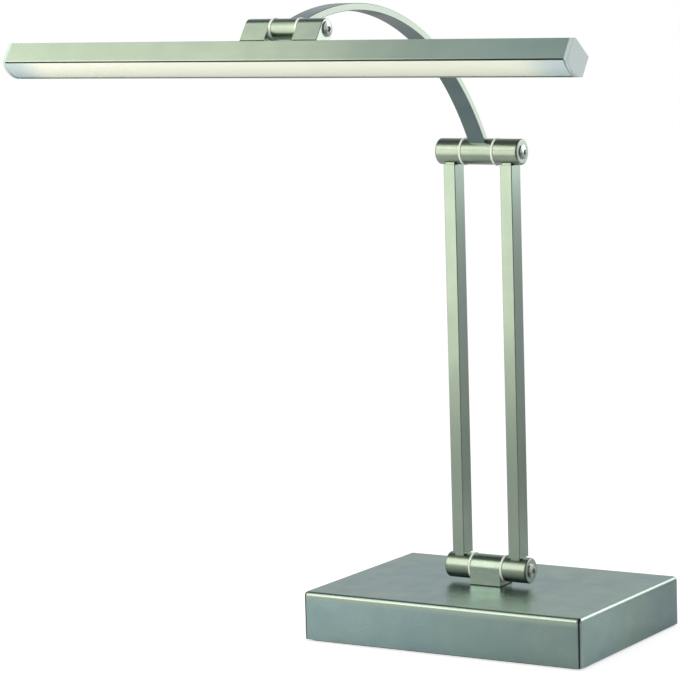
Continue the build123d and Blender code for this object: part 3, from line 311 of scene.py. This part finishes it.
def soft_noise(tree, place, scale, detail, roughness=0.5):
    noise = tree.nodes.new("ShaderNodeTexNoise")
    for name, value in (("Vector", place), ("Scale", scale), ("Detail", detail), ("Roughness", roughness)):
        feed(tree, value, noise.inputs[name])
    return noise.outputs["Fac"]


def grain_group():
    """Fine lines from brushing, drawing or turning. Stretch is the lines in a metre along each axis."""
    tree, given, result = new_group(
        "satin_grain",
        [("Vector", "Vector", None), ("Stretch", "Vector", (40.0, 2500.0, 2500.0))],
        [("Height", "Float"), ("Streak", "Float")])
    lines = tree.nodes.new("ShaderNodeVectorMath")
    lines.operation = "MULTIPLY"
    tree.links.new(given["Vector"], lines.inputs[0])
    tree.links.new(given["Stretch"], lines.inputs[1])
    fine = soft_noise(tree, lines.outputs[0], scale=1.0, detail=2.0)
    broad = soft_noise(tree, lines.outputs[0], scale=0.16, detail=2.0)
    tree.links.new(fine, result["Height"])
    tree.links.new(blend_numbers(tree, 0.5, fine, broad), result["Streak"])
    return tree


def mottle_group():
    """Soft cloudy patches in a plated or anodised skin. Size is the width of a patch."""
    tree, given, result = new_group(
        "soft_mottle",
        [("Vector", "Vector", None), ("Size", "Float", 0.02)],
        [("Cloud", "Float")])
    patches = calc(tree, "DIVIDE", 1.0, given["Size"])
    noise = soft_noise(tree, given["Vector"], patches, detail=4.0, roughness=0.55)
    tree.links.new(change(tree, noise, 0.30, 0.70, smooth=False), result["Cloud"])
    return tree


def pimple_group():
    """Fine moulded or cast skin. Size is the width of one bump."""
    tree, given, result = new_group(
        "moulded_skin",
        [("Vector", "Vector", None), ("Size", "Float", 0.0008)],
        [("Height", "Float")])
    bumps = calc(tree, "DIVIDE", 1.0, given["Size"])
    cells = tree.nodes.new("ShaderNodeTexVoronoi")
    cells.feature = "SMOOTH_F1"
    tree.links.new(given["Vector"], cells.inputs["Vector"])
    tree.links.new(bumps, cells.inputs["Scale"])
    noise = soft_noise(tree, given["Vector"], bumps, detail=2.0)
    tree.links.new(blend_numbers(tree, 0.4, cells.outputs["Distance"], noise), result["Height"])
    return tree


GRAIN = grain_group()
MOTTLE = mottle_group()
SKIN = pimple_group()


# ---------------------------------------------------------------- finishes

class Finish:
    """One material with its shader, and short ways to add to it."""

    def __init__(self, name):
        self.material = bpy.data.materials.new(name)
        self.material.use_nodes = True
        self.tree = self.material.node_tree
        self.shader = self.tree.nodes["Principled BSDF"]
        self.place = self.tree.nodes.new("ShaderNodeTexCoord").outputs["Object"]

    def set(self, **values):
        """Sets or links the shader's inputs. An underscore stands for the space in an input's name."""
        for name, value in values.items():
            feed(self.tree, value, self.shader.inputs[name.replace("_", " ")])

    def effect(self, group, **values):
        node = self.tree.nodes.new("ShaderNodeGroup")
        node.node_tree = group
        for name, value in {"Vector": self.place, **values}.items():
            feed(self.tree, value, node.inputs[name])
        return node.outputs

    def between(self, amount, low, high):
        """A number that goes from low to high as amount goes from 0 to 1."""
        return change(self.tree, amount, 0.0, 1.0, low, high, smooth=False)

    def tint(self, amount, first, second, blend="MIX"):
        """The first colour where amount is 0, and the second, or both multiplied, where it is 1."""
        return blend_colours(self.tree, amount, first, second, blend)

    def average(self, first, second, share):
        return blend_numbers(self.tree, share, first, second)

    def scaled(self, colour, mask, tone):
        """The colour times tone where the mask is 1, and as it is where the mask is 0."""
        return times(self.tree, colour, blend_numbers(self.tree, mask, 1.0, tone))

    def along(self, axis, start, end):
        """0 before start and 1 after end, with a smooth change between them."""
        return change(self.tree, coordinate(self.tree, self.place, axis), start, end)

    def beyond(self, axis, distance, line):
        """0 near the middle plane of an axis, 1 further out than distance, both ways."""
        away = calc(self.tree, "ABSOLUTE", coordinate(self.tree, self.place, axis))
        return change(self.tree, away, distance - line, distance + line)

    def below(self, value, limit):
        return calc(self.tree, "LESS_THAN", value, limit)

    def outside(self, mask):
        return self.below(mask, 0.5)

    def both(self, first, second):
        return calc(self.tree, "MULTIPLY", first, second)

    def height(self):
        return coordinate(self.tree, self.place, "Z")

    def colour(self):
        """What the finish's colour is made of so far."""
        return self.shader.inputs["Base Color"].links[0].from_socket

    def in_head(self, axis):
        """How far back, Y, or up, Z, a place lies in the head's own section, straightened out of its tilt."""
        turned = self.tree.nodes.new("ShaderNodeMapping")
        turned.inputs["Rotation"].default_value = (HEAD_TILT, 0.0, 0.0)
        turned.inputs["Location"].default_value = HEAD_AXIS_SHIFT
        self.tree.links.new(self.place, turned.inputs["Vector"])
        return coordinate(self.tree, turned.outputs["Vector"], axis)

    def bump(self, height, depth):
        node = self.tree.nodes.new("ShaderNodeBump")
        node.inputs["Distance"].default_value = depth
        node.inputs["Strength"].default_value = 1.0
        self.tree.links.new(height, node.inputs["Height"])
        self.set(Normal=node.outputs["Normal"])


def satin_metal(name, dark, light, roughness, stretch, depth=0.000006, patch=0.02, streaks=0.5):
    """Brushed, drawn or turned metal, in clouds and streaks from dark and rough to light and smooth."""
    finish = Finish(name)
    grain = finish.effect(GRAIN, Stretch=stretch)
    cloud = finish.effect(MOTTLE, Size=patch)
    tone = finish.average(cloud["Cloud"], grain["Streak"], streaks)
    smooth, rough = roughness
    finish.set(Base_Color=finish.tint(tone, dark, light), Roughness=finish.between(tone, rough, smooth),
               Metallic=1.0)
    finish.bump(grain["Height"], depth)
    return finish


def moulded_plastic(name, dark, light, roughness, bump_size, depth, patch=0.01):
    """Moulded skin with fine bumps, in soft clouds of a darker and a lighter tone."""
    finish = Finish(name)
    skin = finish.effect(SKIN, Size=bump_size)
    cloud = finish.effect(MOTTLE, Size=patch)["Cloud"]
    finish.set(Base_Color=finish.tint(cloud, dark, light), Roughness=finish.between(cloud, *roughness))
    finish.bump(skin["Height"], depth)
    return finish


def cover_nickel():
    """Plated steel, brushed along X, that drifts between a bluish and a yellowish green in soft clouds."""
    bluish, yellowish = (0.310, 0.440, 0.462), (0.435, 0.548, 0.440)
    deep, bright = (0.280, 0.385, 0.380), (0.425, 0.550, 0.510)
    painted_dark_reflection = (0.155, 0.185, 0.190)
    finish = Finish("satin_nickel_cover")
    grain = finish.effect(GRAIN, Stretch=(45.0, 2600.0, 2600.0))
    broad = finish.effect(MOTTLE, Size=0.075)["Cloud"]
    small = finish.effect(MOTTLE, Size=0.020)["Cloud"]
    cloud = finish.average(small, grain["Streak"], share=0.35)
    colour = finish.tint(0.40, finish.tint(broad, bluish, yellowish), finish.tint(cloud, deep, bright))
    colour = painted_shade_on_uprights(finish, colour)
    colour = painted_rim_highlights(finish, colour)
    colour = painted_corner_lines(finish, colour)

    # Painted reflection: in glossy rays the cover turns dark, so the hinge just above it mirrors it dark.
    mirrored = finish.tree.nodes.new("ShaderNodeLightPath").outputs["Is Glossy Ray"]
    colour = finish.tint(mirrored, colour, painted_dark_reflection)
    finish.set(Base_Color=colour, Roughness=finish.between(cloud, 0.33, 0.25), Metallic=1.0)
    finish.bump(grain["Height"], depth=0.000002)
    return finish.material


def painted_shade_on_uprights(finish, colour):
    """Painted light and shade: upright faces a little cooler, lighter to -X or -Y, darker to +X or +Y."""
    cooler = (0.885, 0.938, 1.0)
    front_tone = finish.between(finish.along("X", *COVER_LENGTH_X), 1.31, 0.96)
    end_tone = finish.between(finish.along("Y", *COVER_LENGTH_Y), 1.23, 0.85)
    for face, tone in ((finish.beyond("Y", COVER_FACE_Y, FINE_LINE), front_tone),
                       (finish.beyond("X", COVER_FACE_X, FINE_LINE), end_tone)):
        colour = finish.tint(face, colour, cooler, blend="MULTIPLY")
        colour = finish.scaled(colour, face, tone)
    return colour


def painted_rim_highlights(finish, colour):
    """Painted highlights: paler under the front and rear rims, those rims tinted, the end rims bright."""
    painted_sheen, rim_highlight_tint, bright = (0.50, 0.62, 0.55), (0.37, 0.455, 0.41), (0.58, 0.68, 0.62)
    front_and_rear = finish.beyond("Y", COVER_RIM_Y, RIM_LINE)
    ends = finish.beyond("X", COVER_RIM_X, FINE_LINE)
    rim = finish.beyond("Z", COVER_RIM_Z, RIM_LINE)
    under_rim = finish.beyond("Z", COVER_PALE_Z, SOFT_LINE)
    colour = finish.tint(finish.both(front_and_rear, under_rim), colour, painted_sheen)
    colour = finish.tint(finish.both(front_and_rear, rim), colour, rim_highlight_tint)
    # Painted highlight: the end rims are made bright.
    return finish.tint(finish.both(ends, rim), colour, bright)


def painted_corner_lines(finish, colour):
    """A painted dark reflection runs up each corner."""
    painted_dark_line = (0.045, 0.060, 0.056)
    start = finish.beyond("X", CORNER_LINE_START_X, FINE_LINE)
    end = finish.outside(finish.beyond("X", CORNER_LINE_END_X, CORNER_LINE_EDGE))
    at_corner = finish.beyond("Y", CORNER_LINE_START_Y, FINE_LINE)
    corner_line = finish.both(finish.both(start, end), at_corner)
    return finish.tint(corner_line, colour, painted_dark_line)


def tube_nickel():
    return satin_metal("satin_nickel_tubes", dark=(0.34, 0.43, 0.375), light=(0.42, 0.52, 0.44),
                       roughness=(0.26, 0.34), stretch=(2600.0, 2600.0, 45.0), patch=0.03).material


def turned_nickel():
    """Barrels and knuckles. Painted light makes the outer ends of the lower barrels bright."""
    painted_end_light = (0.62, 0.66, 0.59)
    finish = satin_metal("turned_nickel", dark=(0.34, 0.42, 0.36), light=(0.41, 0.49, 0.41),
                         roughness=(0.30, 0.34), stretch=(1600.0, 30.0, 30.0), depth=0.0000006, streaks=0.25)
    end = finish.beyond("X", BARREL_END_X, SHARP_LINE)
    painted_end_mask = finish.both(end, finish.below(finish.height(), LOWER_HINGE_TOP_Z))
    finish.set(Base_Color=finish.tint(painted_end_mask, finish.colour(), painted_end_light))
    return finish.material


def arch_nickel():
    """Flat bar, brushed: painted shade makes its broad faces darker than its two narrow edges."""
    edge_tone = (0.34, 0.395, 0.335)
    # The broad faces' dark tones are painted shade.
    finish = satin_metal("satin_nickel_arch", dark=(0.155, 0.222, 0.235), light=(0.215, 0.290, 0.297),
                         roughness=(0.16, 0.22), stretch=(2600.0, 300.0, 300.0))
    edge = finish.beyond("X", ARCH_EDGE_X, SHARP_LINE)
    finish.set(Base_Color=finish.tint(edge, finish.colour(), edge_tone))
    return finish.material


def block_nickel():
    """Hinge block and lugs: painted shade darkens a line round the block's foot, painted light the lugs'
    ends.
    """
    painted_foot_shade, painted_lug_light = (0.04, 0.05, 0.05), (0.50, 0.54, 0.48)
    finish = satin_metal("satin_nickel_block", dark=(0.340, 0.430, 0.385), light=(0.415, 0.525, 0.445),
                         roughness=(0.24, 0.32), stretch=(60.0, 2200.0, 2200.0), depth=0.000002, patch=0.012)
    foot = finish.below(finish.height(), BLOCK_FOOT_Z)
    # Painted light: the lugs' outer ends are made lighter.
    end = finish.beyond("X", LUG_END_X, SHARP_LINE)
    colour = finish.tint(foot, finish.colour(), painted_foot_shade)
    finish.set(Base_Color=finish.tint(end, colour, painted_lug_light))
    return finish.material


def drawn_aluminium():
    """Anodised skin that drifts from a warm to a cooler green along the head."""
    cool_dark, cool_light = (0.345, 0.470, 0.425), (0.425, 0.560, 0.500)
    finish = satin_metal("drawn_aluminium", dark=(0.35, 0.44, 0.39), light=(0.44, 0.54, 0.46),
                         roughness=(0.26, 0.34), stretch=(12.0, 2600.0, 2600.0), depth=0.000002, patch=0.03)
    cloud = finish.effect(MOTTLE, Size=0.05)["Cloud"]
    cool = finish.tint(cloud, cool_dark, cool_light)
    drift = finish.along("X", *HEAD_COOLING_X)
    finish.set(Base_Color=finish.tint(drift, finish.colour(), cool))
    return finish.material


def screw_steel():
    return satin_metal("screw_head_steel", dark=(0.66, 0.71, 0.67), light=(0.80, 0.84, 0.78),
                       roughness=(0.18, 0.26), stretch=(60.0, 2000.0, 2000.0), patch=0.004).material


def zinc_plate():
    return satin_metal("zinc_plated_steel", dark=(0.46, 0.48, 0.50), light=(0.62, 0.63, 0.64),
                       roughness=(0.28, 0.42), stretch=(600.0, 600.0, 600.0), patch=0.006,
                       streaks=0.2).material


def cast_iron():
    finish = moulded_plastic("cast_iron", dark=(0.035, 0.034, 0.034), light=(0.075, 0.070, 0.066),
                             roughness=(0.75, 0.9), bump_size=0.0016, depth=0.0003, patch=0.02)
    finish.set(Metallic=0.4)
    return finish.material


def washer_nylon():
    return moulded_plastic("pale_nylon", dark=(0.84, 0.90, 0.80), light=(0.90, 0.95, 0.86),
                           roughness=(0.30, 0.40), bump_size=0.0006, depth=0.00001, patch=0.006).material


def pad_rubber():
    return moulded_plastic("black_rubber", dark=(0.012, 0.012, 0.012), light=(0.028, 0.028, 0.027),
                           roughness=(0.75, 0.9), bump_size=0.0012, depth=0.00015).material


def case_plastic():
    return moulded_plastic("white_case_plastic", dark=(0.74, 0.74, 0.72), light=(0.82, 0.82, 0.80),
                           roughness=(0.45, 0.6), bump_size=0.0009, depth=0.00005).material


def black_plastic():
    return moulded_plastic("black_fitting_plastic", dark=(0.014, 0.014, 0.015), light=(0.026, 0.026, 0.027),
                           roughness=(0.35, 0.5), bump_size=0.0006, depth=0.00004).material


def button_plastic():
    return moulded_plastic("button_plastic", dark=(0.020, 0.020, 0.021), light=(0.034, 0.034, 0.035),
                           roughness=(0.28, 0.40), bump_size=0.0005, depth=0.00002).material


def lead_jacket():
    return moulded_plastic("lead_jacket", dark=(0.016, 0.016, 0.016), light=(0.030, 0.030, 0.030),
                           roughness=(0.45, 0.6), bump_size=0.0006, depth=0.00002).material


def frosted_cream():
    """Frosted strip: cream where the light board stands behind it, cooler near both ends."""
    painted_groove_shade = (0.05, 0.06, 0.06)
    finish = Finish("frosted_cream")
    skin = finish.effect(SKIN, Size=0.0007)
    cloud = finish.effect(MOTTLE, Size=0.04)["Cloud"]

    # Painted light and shade: each of its tones brightens along X.
    drift = finish.along("X", -STRIP_WARM_X, STRIP_WARM_X)
    dark = finish.tint(drift, (0.80, 0.835, 0.745), (0.875, 0.92, 0.78))
    light = finish.tint(drift, (0.83, 0.865, 0.785), (0.905, 0.945, 0.815))
    cool = finish.tint(drift, (0.47, 0.585, 0.63), (0.565, 0.695, 0.715))
    ends = finish.beyond("X", (STRIP_WARM_X + STRIP_COOL_X) / 2, (STRIP_COOL_X - STRIP_WARM_X) / 2)
    strip = finish.tint(ends, finish.tint(cloud, dark, light), cool)

    # Painted shade: its front rim is darkened where it lies in the housing's groove.
    at_front = finish.below(finish.in_head("Y"), STRIP_RIM_Y)
    tucked_in = finish.outside(finish.below(finish.in_head("Z"), STRIP_RIM_Z))
    rim = finish.both(at_front, tucked_in)
    finish.set(Base_Color=finish.tint(rim, strip, painted_groove_shade), Roughness=finish.between(cloud, 0.42, 0.52))
    finish.bump(skin["Height"], depth=0.00002)
    return finish.material


def clear_cap():
    """Pale translucent cap, with painted shade darkening the lower part of its inner edge."""
    painted_dark_line = (0.30, 0.38, 0.39)
    finish = moulded_plastic("translucent_cap", dark=(0.49, 0.60, 0.59), light=(0.54, 0.645, 0.635),
                             roughness=(0.24, 0.32), bump_size=0.0012, depth=0.000004, patch=0.025)
    inner = finish.outside(finish.beyond("X", CAP_SHADE_X, SHARP_LINE))
    cap_shade = finish.both(inner, finish.below(finish.in_head("Z"), CAP_SHADE_Z))
    finish.set(Base_Color=finish.tint(cap_shade, finish.colour(), painted_dark_line))
    return finish.material


def board_white():
    return moulded_plastic("board_white", dark=(0.80, 0.80, 0.80), light=(0.86, 0.86, 0.86),
                           roughness=(0.4, 0.5), bump_size=0.0008, depth=0.00001).material


def led_phosphor():
    return moulded_plastic("led_phosphor", dark=(0.80, 0.66, 0.16), light=(0.88, 0.76, 0.25),
                           roughness=(0.25, 0.35), bump_size=0.0005, depth=0.00001).material


FINISHES = [
    (cover_nickel, ["base_cover"]),
    (block_nickel, ["hinge_block", "head_lug_left", "head_lug_right"]),
    (tube_nickel, ["post_tube_left", "post_tube_right"]),
    (turned_nickel, ["lower_barrel_left", "lower_barrel_right", "upper_barrel_left", "upper_barrel_right",
                     "arch_knuckle_low", "arch_knuckle_high", "tube_plugs"]),
    (arch_nickel, ["arch_bar"]),
    (drawn_aluminium, ["head_housing"]),
    (washer_nylon, ["lower_washers", "upper_washers", "head_washers"]),
    (screw_steel, ["lower_cap_screws", "upper_cap_screws", "head_cap_screws"]),
    (zinc_plate, ["base_plate", "plate_screws", "weight_screws", "backing_plate", "block_screws",
                  "driver_screws", "jack_nut", "switch_nut", "lower_axle", "upper_axle", "head_axle",
                  "lug_screws"]),
    (cast_iron, ["base_weight"]),
    (pad_rubber, ["base_pad"]),
    (case_plastic, ["led_driver"]),
    (black_plastic, ["power_jack", "switch_body"]),
    (button_plastic, ["switch_button"]),
    (lead_jacket, ["inlet_lead", "switch_lead", "base_lead", "post_lead", "arch_lead", "head_lead"]),
    (frosted_cream, ["diffuser"]),
    (clear_cap, ["end_cap_left", "end_cap_right"]),
    (board_white, ["led_board"]),
    (led_phosphor, ["led_chips"]),
]


def dress_parts():
    for make, names in FINISHES:
        material = make()
        for name in names:
            for slot in PARTS[name].material_slots:
                slot.material = material


put_camera()
light_studio()
dress_parts()

bpy.context.scene.view_settings.view_transform = "Standard"
